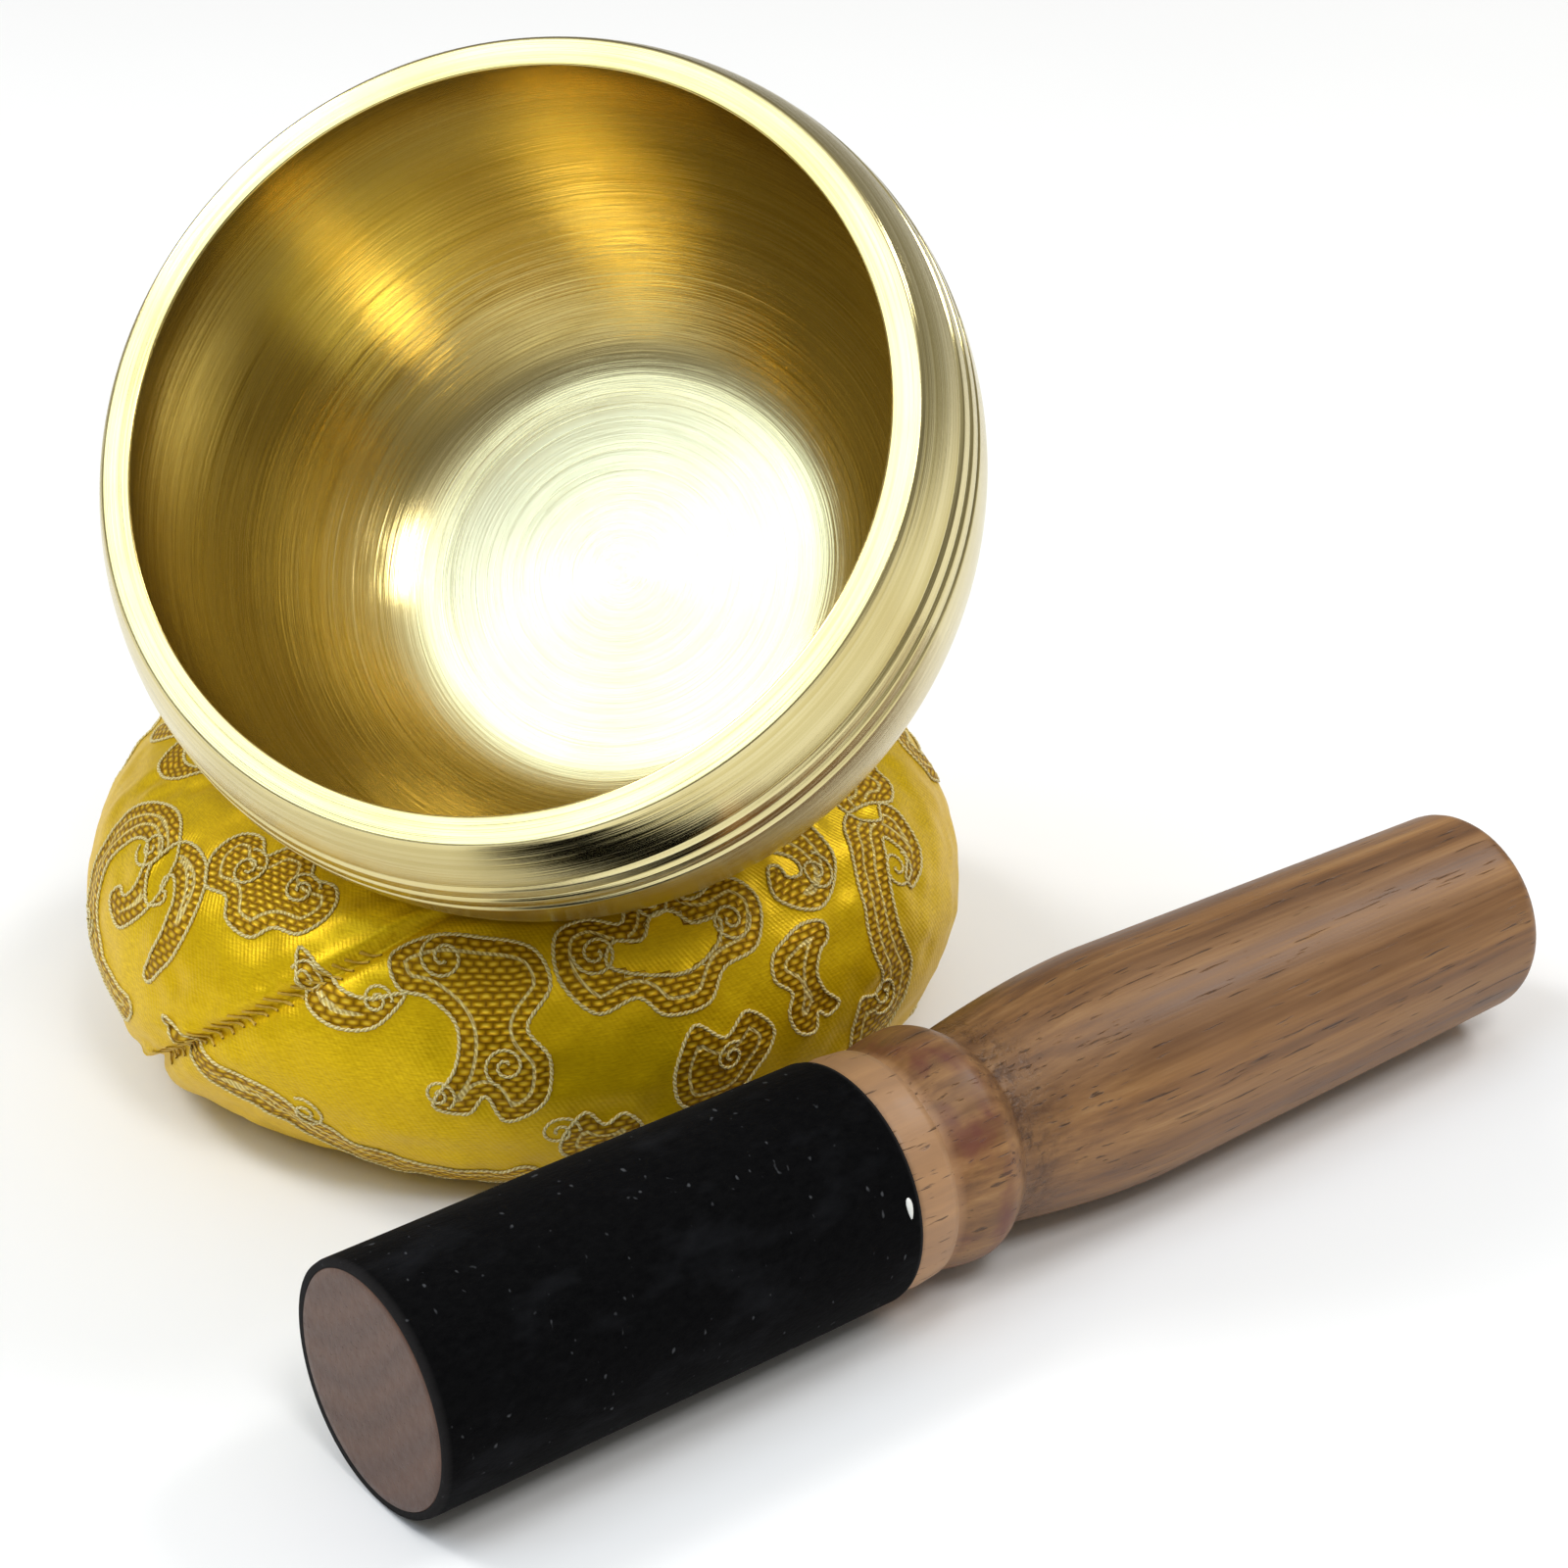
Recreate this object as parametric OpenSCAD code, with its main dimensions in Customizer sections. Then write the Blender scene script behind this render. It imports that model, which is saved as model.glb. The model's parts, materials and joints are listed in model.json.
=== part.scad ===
// Turned brass singing bowl at rest on its stuffed ring cushion, with its wooden striker beside it.
// Millimetres. The origin is on the surface that the set stands on, under the centre of the ring
// cushion; +Z is up and the bowl's mouth leans towards -Y.

/* [Bowl] */
// Largest outside diameter, at the belly
bowl_d = 80; // [74:0.5:84]
// Height from the foot to the lip
bowl_h = 42.4; // [41:0.2:43]
// Outside diameter of the lip
lip_d = 73.9; // [72:0.1:76]
// Depth of the belly's widest line below the lip
belly_drop = 11.6; // [10:0.1:13]
// Radius of the wall's curve below the belly
wall_curve_r = 34; // [33:0.5:35]
// Wall thickness, measured square to the wall
wall_t = 2.3; // [1.8:0.1:2.8]
// Thickness of the flat bottom
floor_t = 2.8; // [2:0.1:3.5]
// Radius of the curve inside, between the flat bottom and the wall
inner_blend_r = 10; // [4:0.5:14]
// Depth of the lip below which each turned groove lies
groove_drops = [5.9, 8.0, 10.3];
// Width of a turned groove at the surface
groove_w = 0.9; // [0.4:0.1:1.2]
// Depth of a turned groove
groove_depth = 0.45; // [0.2:0.05:0.8]

/* [Bowl at rest] */
// Lean of the bowl's axis away from upright
bowl_tilt = 49.2; // [48:0.2:51]
// Direction in which the mouth leans, from +X
bowl_lean = -107.2; // [-115:0.2:-100]
// Centre of the foot when the bowl rests on the cushion
foot_at = [11.5, 2.0, 45.8];

/* [Cushion] */
// Outside diameter of the ring
cushion_d = 87.2; // [86:0.2:90]
// Width of the stuffed tube that forms the ring
tube_w = 42.6; // [41:0.2:43]
// Round thickness of the tube
tube_d = 33; // [31:0.2:34]
// How much the tube is pressed flat where it stands
flat_press = 1.4; // [0.8:0.1:2.5]
// Gap between the cushion and the bowl at rest
rest_gap = 0.3; // [0.2:0.05:0.5]

/* [Cushion stitching] */
// Diameter of the sewing thread
thread_d = 0.4; // [0.3:0.05:0.6]
// Number of whip stitches along the slanting joint of the tube's two ends
stitch_count = 14; // [8:1:20]
// Length of a whip stitch
stitch_len = 2.4; // [1.5:0.1:3]
// Place round the ring where the joint starts, low outside, and ends, under the bowl
joint_az = [219.5, 254];
// Place round the tube where the joint starts and ends, from its outermost line
joint_up = [-20, 46];
// Place round the tube of the long seam, hidden in the hollow under the ring
ring_seam_up = -130; // [-140:1:-120]

/* [Striker] */
// Overall length
mallet_l = 130; // [120:1:140]
// Diameter over the suede, and length of the suede sleeve
wrap_d = 22.7; // [22:0.1:24]
wrap_l = 48.8; // [44:0.2:54]
// Thickness of the suede
suede_t = 0.8; // [0.5:0.1:1.2]
// Diameter and length of the bare ring next to the suede
collar_d = 22; // [21.5:0.1:22.5]
collar_l = 4.6; // [3:0.1:6]
// Diameter at the bottom of the groove between the ring and the bead
collar_groove_d = 20.4; // [20:0.1:21]
// Largest diameter of the turned bead, and its length
bead_d = 22.3; // [21.5:0.1:22.7]
bead_l = 9; // [8:0.2:10]
// Diameter in the sharp crease where the handle starts
crease_d = 18.5; // [18:0.1:19.5]
// Largest diameter of the handle, and how far from the free end it lies
swell_d = 22.6; // [22:0.1:22.6]
swell_at = 82; // [76:0.5:90]
// Diameter at the far end, and the round of its edge
tail_d = 20.5; // [20:0.1:22]
tail_round = 2; // [1:0.1:3]

/* [Striker at rest] */
// Centre of the free end, seen from above
mallet_at = [-7.0, -81.5];
// Direction of the striker from its free end, from +X
mallet_az = 37.9; // [34:0.1:42]

/* [Hidden] */

brass = [0.80, 0.66, 0.32];
yellow_silk = [0.85, 0.70, 0.12];
gold_thread = [0.78, 0.62, 0.14];
brown_wood = [0.52, 0.35, 0.21];
black_suede = [0.05, 0.05, 0.055];

belly_z = bowl_h - belly_drop;
belly_r = bowl_d / 2;
lip_r = lip_d / 2;
lip_in = belly_r - lip_r;
// Radius of the arc that is upright at the belly and meets the lip's edge
shoulder_r = (lip_in * lip_in + belly_drop * belly_drop) / (2 * lip_in);

// Centre of the curve between the flat bottom and the wall, which touches both
blend_reach = wall_curve_r - wall_t - inner_blend_r;
blend_up = belly_z - floor_t - inner_blend_r;
blend_c = [belly_r - wall_curve_r + sqrt(blend_reach * blend_reach - blend_up * blend_up),
           floor_t + inner_blend_r];
blend_end = -asin(blend_up / blend_reach);

tube_r = tube_d / 2;
outer_arc_r = cushion_d / 2 - tube_r;
inner_arc_r = cushion_d / 2 - tube_w + tube_r;
tube_z = tube_r - flat_press;
thread_r = thread_d / 2;

collar_at = wrap_l + collar_l;
crease_at = collar_at + bead_l;
mallet_rest_z = wrap_d / 2;
// Where the bead is thickest, as a part of its length
bead_crest = 0.6;
// How far the ring's edges are rounded down
collar_ease = 0.2;

round_fn = 96;
thread_fn = 16;

// Points on an arc about c, from angle a to angle b
function arc(c, r, a, b, n) =
    [for (i = [0 : n]) c + r * [cos(a + (b - a) * i / n), sin(a + (b - a) * i / n)]];

// Points [radius, height] of a quarter wave from p to q, steep at p and level at q
function level_out(p, q, n) =
    [for (i = [1 : n]) let (t = i / n) [p[0] + (q[0] - p[0]) * sin(90 * t), p[1] + (q[1] - p[1]) * t]];

// The same, level at p and steep at q
function fall_off(p, q, n) =
    [for (i = [1 : n]) let (t = i / n) [q[0] + (p[0] - q[0]) * cos(90 * t), p[1] + (q[1] - p[1]) * t]];

// Half outline of the bowl seen as a solid, its wall moved inwards by inset
module bowl_outline(inset, bottom, top) {
    intersection() {
        translate([belly_r - wall_curve_r, belly_z]) circle(r = wall_curve_r - inset, $fn = round_fn);
        translate([0, bottom]) square([bowl_d, belly_z - bottom]);
    }
    intersection() {
        translate([belly_r - shoulder_r, belly_z]) circle(r = shoulder_r - inset, $fn = round_fn);
        translate([0, belly_z]) square([bowl_d, top - belly_z]);
    }
}

// Half outline of the hollow, with the curve round its flat bottom
module hollow_outline() {
    difference() {
        bowl_outline(wall_t, floor_t, bowl_h + 1);
        difference() {
            polygon([blend_c, blend_c + 2 * inner_blend_r * [0, -1],
                     blend_c + 2 * inner_blend_r * [cos(blend_end), sin(blend_end)]]);
            translate(blend_c) circle(r = inner_blend_r, $fn = round_fn);
        }
    }
}

// Puts a shape that stands on its foot at the origin where the bowl rests
module as_bowl_rests() {
    translate(foot_at) rotate([0, bowl_tilt, bowl_lean]) children();
}

// The bowl with no hollow, grown by gap on every side
module filled_bowl(gap) {
    as_bowl_rests() rotate_extrude($fn = round_fn) bowl_outline(-gap, -gap, bowl_h + gap);
}

module groove_cutter(drop) {
    above = drop < belly_drop ? shoulder_r : wall_curve_r;
    z = bowl_h - drop;
    wall_r = belly_r - above + sqrt(above * above - pow(belly_drop - drop, 2));
    rotate_extrude($fn = round_fn)
        polygon([[wall_r - groove_depth, z], [wall_r + groove_depth, z - groove_w],
                 [wall_r + groove_depth, z + groove_w]]);
}

module bowl() {
    color(brass) as_bowl_rests() difference() {
        rotate_extrude($fn = round_fn) difference() {
            bowl_outline(0, 0, bowl_h);
            hollow_outline();
        }
        for (drop = groove_drops) groove_cutter(drop);
    }
}

// Half outline of the ring: two round edges with a level crest between them, pressed flat below
module tube_outline() {
    intersection() {
        union() {
            translate([outer_arc_r, tube_z]) circle(r = tube_r, $fn = round_fn);
            translate([inner_arc_r, tube_z]) circle(r = tube_r, $fn = round_fn);
            translate([inner_arc_r, tube_z - tube_r]) square([outer_arc_r - inner_arc_r, tube_d]);
        }
        square([cushion_d, tube_d]);
    }
}

// The stuffed ring, dished where the bowl sinks in
module cushion() {
    color(yellow_silk) difference() {
        rotate_extrude($fn = round_fn) tube_outline();
        filled_bowl(rest_gap);
    }
}

// Puts a shape on the tube's skin, with +X outwards, +Y round the ring and +Z up over the tube
module on_tube(az, up) {
    rotate([0, 0, az]) translate([outer_arc_r, 0, tube_z]) rotate([0, -up, 0])
        translate([tube_r, 0, 0]) children();
}

module cushion_joint_stitches() {
    run = (joint_az[1] - joint_az[0]) * (cushion_d / 2);
    rise = (joint_up[1] - joint_up[0]) * tube_r;
    color(gold_thread) for (i = [0 : stitch_count - 1]) {
        t = i / (stitch_count - 1);
        on_tube(joint_az[0] + t * (joint_az[1] - joint_az[0]), joint_up[0] + t * (joint_up[1] - joint_up[0]))
            translate([thread_r, 0, 0]) rotate([atan2(rise, run), 0, 0])
                cylinder(r = thread_r, h = stitch_len, center = true, $fn = thread_fn);
    }
}

module cushion_ring_seam() {
    color(gold_thread) rotate_extrude($fn = round_fn)
        translate([inner_arc_r + (tube_r + thread_r) * cos(ring_seam_up),
                   tube_z + (tube_r + thread_r) * sin(ring_seam_up)])
            circle(r = thread_r, $fn = thread_fn);
}

// Puts a shape that is turned about +Z, its free end at the origin, where the striker rests
module as_mallet_rests() {
    translate([mallet_at[0], mallet_at[1], mallet_rest_z]) rotate([0, 90, mallet_az]) children();
}

module mallet_stick() {
    core_r = wrap_d / 2 - suede_t;
    groove = [collar_groove_d / 2, collar_at];
    crest = [bead_d / 2, collar_at + bead_crest * bead_l];
    crease = [crease_d / 2, crease_at];
    color(brown_wood) as_mallet_rests() rotate_extrude($fn = round_fn)
        polygon(concat(
            [[0, 0], [core_r, 0], [core_r, wrap_l], [collar_d / 2 - collar_ease, wrap_l],
             [collar_d / 2, wrap_l + collar_l / 2],
             [collar_d / 2 - collar_ease, collar_at - collar_ease], groove],
            level_out(groove, crest, 6),
            fall_off(crest, crease, 6),
            level_out(crease, [swell_d / 2, swell_at], 8),
            arc([tail_d / 2 - tail_round, mallet_l - tail_round], tail_round, 0, 90, 6),
            [[0, mallet_l]]));
}

module mallet_wrap() {
    color(black_suede) as_mallet_rests() rotate_extrude($fn = round_fn)
        translate([wrap_d / 2 - suede_t, 0]) square([suede_t, wrap_l]);
}

bowl();
cushion();
cushion_joint_stitches();
cushion_ring_seam();
mallet_stick();
mallet_wrap();
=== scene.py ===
import json
import math

import bpy
import numpy as np
from mathutils import Matrix, Vector


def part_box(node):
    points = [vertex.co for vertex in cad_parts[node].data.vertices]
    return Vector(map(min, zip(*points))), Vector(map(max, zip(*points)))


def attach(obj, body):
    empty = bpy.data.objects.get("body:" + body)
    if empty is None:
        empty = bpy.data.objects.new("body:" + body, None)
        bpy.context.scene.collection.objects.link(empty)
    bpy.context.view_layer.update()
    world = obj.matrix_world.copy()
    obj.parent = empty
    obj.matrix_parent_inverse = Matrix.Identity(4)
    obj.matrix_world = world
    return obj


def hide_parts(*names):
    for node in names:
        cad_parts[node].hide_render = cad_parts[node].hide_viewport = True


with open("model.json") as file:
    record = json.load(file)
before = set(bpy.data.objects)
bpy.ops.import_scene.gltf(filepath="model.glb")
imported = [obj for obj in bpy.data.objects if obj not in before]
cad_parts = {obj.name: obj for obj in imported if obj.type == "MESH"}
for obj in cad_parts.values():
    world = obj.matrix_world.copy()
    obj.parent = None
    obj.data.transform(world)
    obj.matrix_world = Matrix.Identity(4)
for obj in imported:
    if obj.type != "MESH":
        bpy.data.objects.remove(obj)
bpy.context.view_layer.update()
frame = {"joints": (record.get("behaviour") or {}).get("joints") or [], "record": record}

# Lengths in this script are in millimetres until a mesh or an object is made.
MM = 0.001
TAU = 2 * math.pi

# Bowl, as in the CAD source
BELLY_R = 40.0
BOWL_H = 42.4
LIP_R = 36.95
BELLY_DROP = 11.6
WALL_CURVE_R = 34.0
WALL_T = 2.3
FLOOR_T = 2.8
INNER_BLEND_R = 10.0
GROOVE_DROPS = (5.9, 8.0, 10.3)
GROOVE_W = 0.9
GROOVE_DEPTH = 0.45
FOOT_R = 20.4

# Ring cushion, as in the CAD source
TUBE_R = 16.5
OUTER_ARC_R = 27.1
INNER_ARC_R = 17.5
TUBE_Z = 15.1
CREST_W = OUTER_ARC_R - INNER_ARC_R
SKIN_GAP = 0.4

# Radius at which lengths along the ring are measured
RING_R = 38.0

# Slanting joint of the tube: its place round the ring at the outermost line, and its slope
JOINT_AZ = 230.5
JOINT_SLOPE = 0.52

# Striker, as in the CAD source
MALLET_L = 130.0
WRAP_R = 11.35
WRAP_L = 48.8
SUEDE_T = 0.8
COLLAR_R = 11.0
COLLAR_EASE = 0.2
COLLAR_AT = 53.4
GROOVE_R = 10.2
BEAD_R = 11.15
BEAD_CREST = 0.6
CREASE_AT = 62.4
CREASE_R = 9.25
SWELL_R = 11.3
SWELL_AT = 82.0
TAIL_R = 10.25
TAIL_ROUND = 2.0


# ---------------------------------------------------------------- where things are

def bowl_pose():
    """Matrix that takes the bowl from its own upright frame, foot at the origin, to rest."""
    foot = next(m for m in frame["record"]["mounts"] if m["name"] == "bowl_foot")
    up = -Vector(foot["axis"]).normalized()
    turn = up.to_track_quat("Z", "Y").to_matrix().to_4x4()
    return Matrix.Translation(Vector(foot["pos_m"])) @ turn


def mallet_pose():
    """Matrix that takes the striker from its own frame, free end at the origin and along +Z, to rest."""
    slide = next(j for j in frame["joints"] if j["name"] == "mallet_lift")["axis"]
    along = Vector((-slide[1], slide[0], 0)).normalized()
    low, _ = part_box("mallet_wrap")
    radius = WRAP_R * MM
    free_end = Vector((low.x + radius * along.y, low.y + radius * along.x, radius))
    turn = Matrix((Vector((0, 0, -1)), Vector((-along.y, along.x, 0)), along)).transposed()
    return Matrix.Translation(free_end) @ turn.to_4x4()


BOWL_POSE = bowl_pose()
MALLET_POSE = mallet_pose()


# ---------------------------------------------------------------- camera

def make_camera():
    data = bpy.data.cameras.new("camera")
    data.sensor_width = 36
    data.lens = 78.75
    data.clip_start = 0.01
    data.clip_end = 20
    camera = bpy.data.objects.new("camera", data)
    camera.location = (0.0264, -0.3053, 0.1814)
    camera.rotation_euler = (math.radians(90 - 27.2), 0, 0)
    bpy.context.scene.collection.objects.link(camera)
    bpy.context.scene.camera = camera


make_camera()


# ---------------------------------------------------------------- node helpers

class Graph:
    """Short ways to add nodes to a material or a world."""

    def __init__(self, owner):
        owner.use_nodes = True
        self.tree = owner.node_tree
        self.tree.nodes.clear()

    def put(self, socket, value):
        if isinstance(value, bpy.types.NodeSocket):
            self.tree.links.new(value, socket)
        elif value is not None:
            socket.default_value = value

    def add(self, kind, inputs=None, **settings):
        node = self.tree.nodes.new("ShaderNode" + kind)
        for name, value in settings.items():
            setattr(node, name, value)
        for name, value in (inputs or {}).items():
            self.put(node.inputs[name], value)
        return node

    def math(self, operation, a, b=None, c=None, clamp=False):
        node = self.add("Math", operation=operation, use_clamp=clamp)
        for socket, value in zip(node.inputs, (a, b, c)):
            self.put(socket, value)
        return node.outputs[0]

    def mix(self, factor, a, b, blend="MIX"):
        node = self.add("Mix", data_type="RGBA", blend_type=blend)
        self.put(node.inputs[0], factor)
        self.put(node.inputs[6], a)
        self.put(node.inputs[7], b)
        return node.outputs[2]

    def ramp(self, value, *stops):
        node = self.add("ValToRGB", {"Fac": value})
        elements = node.color_ramp.elements
        while len(elements) < len(stops):
            elements.new(0.5)
        for element, (place, colour) in zip(elements, stops):
            element.position = place
            element.color = colour if len(colour) == 4 else (*colour, 1)
        return node.outputs[0]

    def span(self, value, low, high, to_low=0.0, to_high=1.0):
        node = self.add("MapRange")
        for name, number in zip(("Value", "From Min", "From Max", "To Min", "To Max"),
                                (value, low, high, to_low, to_high)):
            self.put(node.inputs[name], number)
        return node.outputs[0]

    def vector(self, x=0.0, y=0.0, z=0.0):
        return self.add("CombineXYZ", {"X": x, "Y": y, "Z": z}).outputs[0]

    def parts(self, vector):
        return self.add("SeparateXYZ", {"Vector": vector}).outputs

    def scaled(self, vector, scale):
        node = self.add("VectorMath", operation="MULTIPLY")
        self.put(node.inputs[0], vector)
        self.put(node.inputs[1], scale)
        return node.outputs[0]

    def noise(self, vector, scale, detail=2.0, rough=0.5, distortion=0.0):
        return self.add("TexNoise", {"Vector": vector, "Scale": scale, "Detail": detail,
                                     "Roughness": rough, "Distortion": distortion}).outputs[0]

    def place(self):
        return self.add("TexCoord").outputs["Object"]

    def uv(self, name):
        return self.add("UVMap", uv_map=name).outputs[0]

    def bump(self, height, distance, strength=1.0, normal=None):
        return self.add("Bump", {"Height": height, "Distance": distance, "Strength": strength,
                                 "Normal": normal}).outputs[0]

    def surface(self, **sockets):
        shader = self.add("BsdfPrincipled", {k.replace("_", " "): v for k, v in sockets.items()})
        self.tree.links.new(shader.outputs[0], self.add("OutputMaterial").inputs[0])
        return shader


def rgb(red, green, blue):
    """Linear colour from display values of 0 to 255."""
    return tuple(((v / 255 + 0.055) / 1.055) ** 2.4 if v > 10 else v / 255 / 12.92
                 for v in (red, green, blue)) + (1.0,)


# ---------------------------------------------------------------- mesh helpers

def make_object(name, verts, faces, material, body, pose=None, uvs=None, smooth=True):
    """A mesh piece from points in millimetres, riding a body. uvs maps a name to one pair per corner."""
    mesh = bpy.data.meshes.new(name)
    mesh.from_pydata([], [], [])
    verts = np.asarray(verts, float) * MM
    faces = np.asarray(faces, int)
    corners = faces.shape[1]
    mesh.vertices.add(len(verts))
    mesh.vertices.foreach_set("co", verts.ravel())
    mesh.loops.add(faces.size)
    mesh.loops.foreach_set("vertex_index", faces.ravel())
    mesh.polygons.add(len(faces))
    mesh.polygons.foreach_set("loop_start", np.arange(0, faces.size, corners))
    for layer, values in (uvs or {}).items():
        mesh.uv_layers.new(name=layer).data.foreach_set("uv", np.asarray(values, np.float32).ravel())
    mesh.update(calc_edges=True)
    mesh.validate()
    mesh.shade_smooth() if smooth else mesh.shade_flat()
    piece = bpy.data.objects.new(name, mesh)
    bpy.context.scene.collection.objects.link(piece)
    if pose is not None:
        piece.matrix_world = pose
    piece.data.materials.append(material)
    if body:
        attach(piece, body)
    return piece


def grid_faces(rows, columns, wrap_rows=False, wrap_columns=True):
    """Quads of a grid of points numbered row by row."""
    r = np.arange(rows if wrap_rows else rows - 1)
    c = np.arange(columns if wrap_columns else columns - 1)
    row, column = np.meshgrid(r, c, indexing="ij")
    next_row, next_column = (row + 1) % rows, (column + 1) % columns
    return np.stack([row * columns + column, row * columns + next_column,
                     next_row * columns + next_column, next_row * columns + column], -1).reshape(-1, 4)


def arc(centre, radius, start, end, count):
    """Points on an arc in the plane, angles in degrees."""
    angle = np.radians(np.linspace(start, end, count))
    return np.stack([centre[0] + radius * np.cos(angle), centre[1] + radius * np.sin(angle)], -1)


def resample(points, step):
    """Points along a polyline at an even step, its ends kept."""
    points = np.asarray(points, float)
    length = np.r_[0, np.cumsum(np.linalg.norm(np.diff(points, axis=0), axis=1))]
    keep = np.r_[True, np.diff(length) > 1e-9]
    at = np.linspace(0, length[-1], max(2, int(round(length[-1] / step)) + 1))
    return np.stack([np.interp(at, length[keep], points[keep, k]) for k in range(points.shape[1])], -1)


def lathe(name, outline, segments, material, body, pose, shape=None):
    """A turned piece from its outline of (radius, height), closed on the axis at both ends.
    The uv map "turning" holds millimetres along the outline and degrees round the axis."""
    outline = np.asarray(outline, float)
    along = np.r_[0, np.cumsum(np.linalg.norm(np.diff(outline, axis=0), axis=1))]
    angle = np.arange(segments) * TAU / segments
    radius = np.maximum(outline[:, :1], 1e-4) * np.ones(segments)
    if shape is not None:
        radius = radius * shape(outline[:, 1][:, None], angle[None, :])
    verts = np.stack([radius * np.cos(angle), radius * np.sin(angle),
                      outline[:, 1:2] * np.ones(segments)], -1).reshape(-1, 3)
    faces = grid_faces(len(outline), segments)
    column = np.arange(segments)
    degrees = np.stack([column, column + 1, column + 1, column], -1) * 360 / segments
    row = np.arange(len(outline) - 1)
    lengths = along[np.stack([row, row, row + 1, row + 1], -1)]
    uv = np.stack([np.repeat(lengths[:, None, :], segments, 1),
                   np.repeat(degrees[None, :, :], len(row), 0)], -1).reshape(-1, 2)
    return make_object(name, verts, faces, material, body, pose, {"turning": uv})


# ---------------------------------------------------------------- materials

def brass_material():
    m = bpy.data.materials.new("turned_brass")
    g = Graph(m)
    along, degrees, _ = g.parts(g.uv("turning"))
    turn = g.math("RADIANS", degrees)
    ring = g.vector(along, g.math("MULTIPLY", g.math("COSINE", turn), 0.16),
                    g.math("MULTIPLY", g.math("SINE", turn), 0.16))
    fine = g.noise(ring, 3.2, 3.0, 0.75)
    broad = g.noise(ring, 0.7, 2.0, 0.5)
    cloud = g.noise(g.place(), 45.0, 3.0, 0.6)
    height = g.math("ADD", fine, g.math("MULTIPLY", broad, 1.2))
    colour = g.mix(g.span(broad, 0.35, 0.65), rgb(196, 180, 116), rgb(220, 206, 148))
    colour = g.mix(g.span(fine, 0.35, 0.7, 0.0, 0.5), colour, rgb(238, 228, 184))
    colour = g.mix(g.span(cloud, 0.45, 0.75, 0.0, 0.45), colour, rgb(190, 168, 98))
    # Inside the wall the colour is a deeper gold, a painted reflection of the gold walls in each other; the
    # flat bottom is paler, a painted highlight, and duller
    inside = g.span(along, 73.0, 75.0)
    x, y, z = g.parts(g.place())
    from_axis = g.math("SQRT", g.math("ADD", g.math("MULTIPLY", x, x), g.math("MULTIPLY", y, y)))
    bottom = g.math("MULTIPLY", g.span(from_axis, 0.025, 0.016), g.span(z, 0.012, 0.006))
    wall = g.math("SUBTRACT", inside, bottom)
    colour = g.mix(g.math("MULTIPLY", wall, 0.6), colour, rgb(216, 190, 104))
    colour = g.mix(g.math("MULTIPLY", bottom, 0.6), colour, rgb(226, 226, 196))
    rough = g.math("ADD", g.span(fine, 0.3, 0.7, 0.09, 0.19), g.span(cloud, 0.4, 0.7, 0.0, 0.05))
    rough = g.math("ADD", rough, g.math("MULTIPLY", bottom, 0.14))
    tangent = g.add("Tangent", direction_type="RADIAL", axis="Z").outputs[0]
    g.surface(Base_Color=colour, Metallic=1.0, Roughness=rough, Anisotropic=0.7,
              Anisotropic_Rotation=0.25, Tangent=tangent, Normal=g.bump(height, 0.00006, 0.7))
    return m


def brocade_material():
    m = bpy.data.materials.new("silk_brocade")
    g = Graph(m)
    across, along, _ = g.parts(g.uv("fabric"))
    inside = g.add("Attribute", attribute_name="motif").outputs["Fac"]
    slant = g.math("ADD", across, g.math("MULTIPLY", along, 0.5))
    weave = g.math("SINE", g.math("MULTIPLY", slant, TAU / 0.45))
    wander = g.noise(g.vector(across, along), 0.35, 2.0, 0.5)
    thread = g.noise(g.vector(g.math("MULTIPLY", across, 0.7), g.math("MULTIPLY", along, 3.2)), 1.7, 3.0, 0.7)
    cloud = g.noise(g.place(), 70.0, 2.0, 0.5)
    ground = g.mix(g.span(thread, 0.3, 0.7), rgb(200, 158, 0), rgb(240, 206, 20))
    ground = g.mix(g.span(cloud, 0.35, 0.7, 0.0, 0.5), ground, rgb(204, 162, 0))
    # Rows of short floats of darker gold fill the motifs
    row = g.math("DIVIDE", g.math("ADD", along, g.math("MULTIPLY", wander, 0.9)), 0.62)
    shift = g.math("MULTIPLY", g.math("FLOOR", row), 0.5)
    dash = g.math("FRACT", g.math("ADD", g.math("DIVIDE", across, 1.15), shift))
    lift = g.math("MULTIPLY", g.math("SINE", g.math("MULTIPLY", g.math("FRACT", row), math.pi)),
                  g.math("SINE", g.math("MULTIPLY", dash, math.pi)))
    filling = g.ramp(g.math("ADD", lift, g.span(thread, 0.3, 0.7, -0.12, 0.12)),
                     (0.0, rgb(126, 88, 0)), (0.3, rgb(162, 118, 0)),
                     (0.6, rgb(194, 148, 8)), (0.95, rgb(228, 192, 54)))
    mask = g.span(inside, 0.0, 0.12)
    # A pale line follows the outline inside each wide motif
    echo = g.span(g.math("ABSOLUTE", g.math("SUBTRACT", inside, 1.5)), 0.2, 0.1)
    stitch = g.span(weave, -0.6, 0.4)
    pale = g.math("MULTIPLY", echo, g.span(stitch, 0.0, 1.0, 0.45, 1.0))
    filling = g.mix(pale, filling, rgb(240, 222, 150))
    lift = g.math("ADD", lift, g.math("MULTIPLY", echo, g.math("ADD", stitch, 0.4)))
    height = g.mix(mask, g.math("MULTIPLY", g.math("ADD", g.math("MULTIPLY", weave, 0.22), thread), 0.22),
                   g.math("ADD", lift, 0.25))
    g.surface(Base_Color=g.mix(mask, ground, filling), Metallic=0.35,
              Roughness=g.span(mask, 0.0, 1.0, 0.36, 0.45), Specular_IOR_Level=0.5,
              Specular_Tint=rgb(255, 232, 130), Sheen_Weight=0.08, Sheen_Roughness=0.35,
              Sheen_Tint=rgb(250, 226, 110),
              Normal=g.bump(height, 0.00022, 0.55))
    return m


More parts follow.
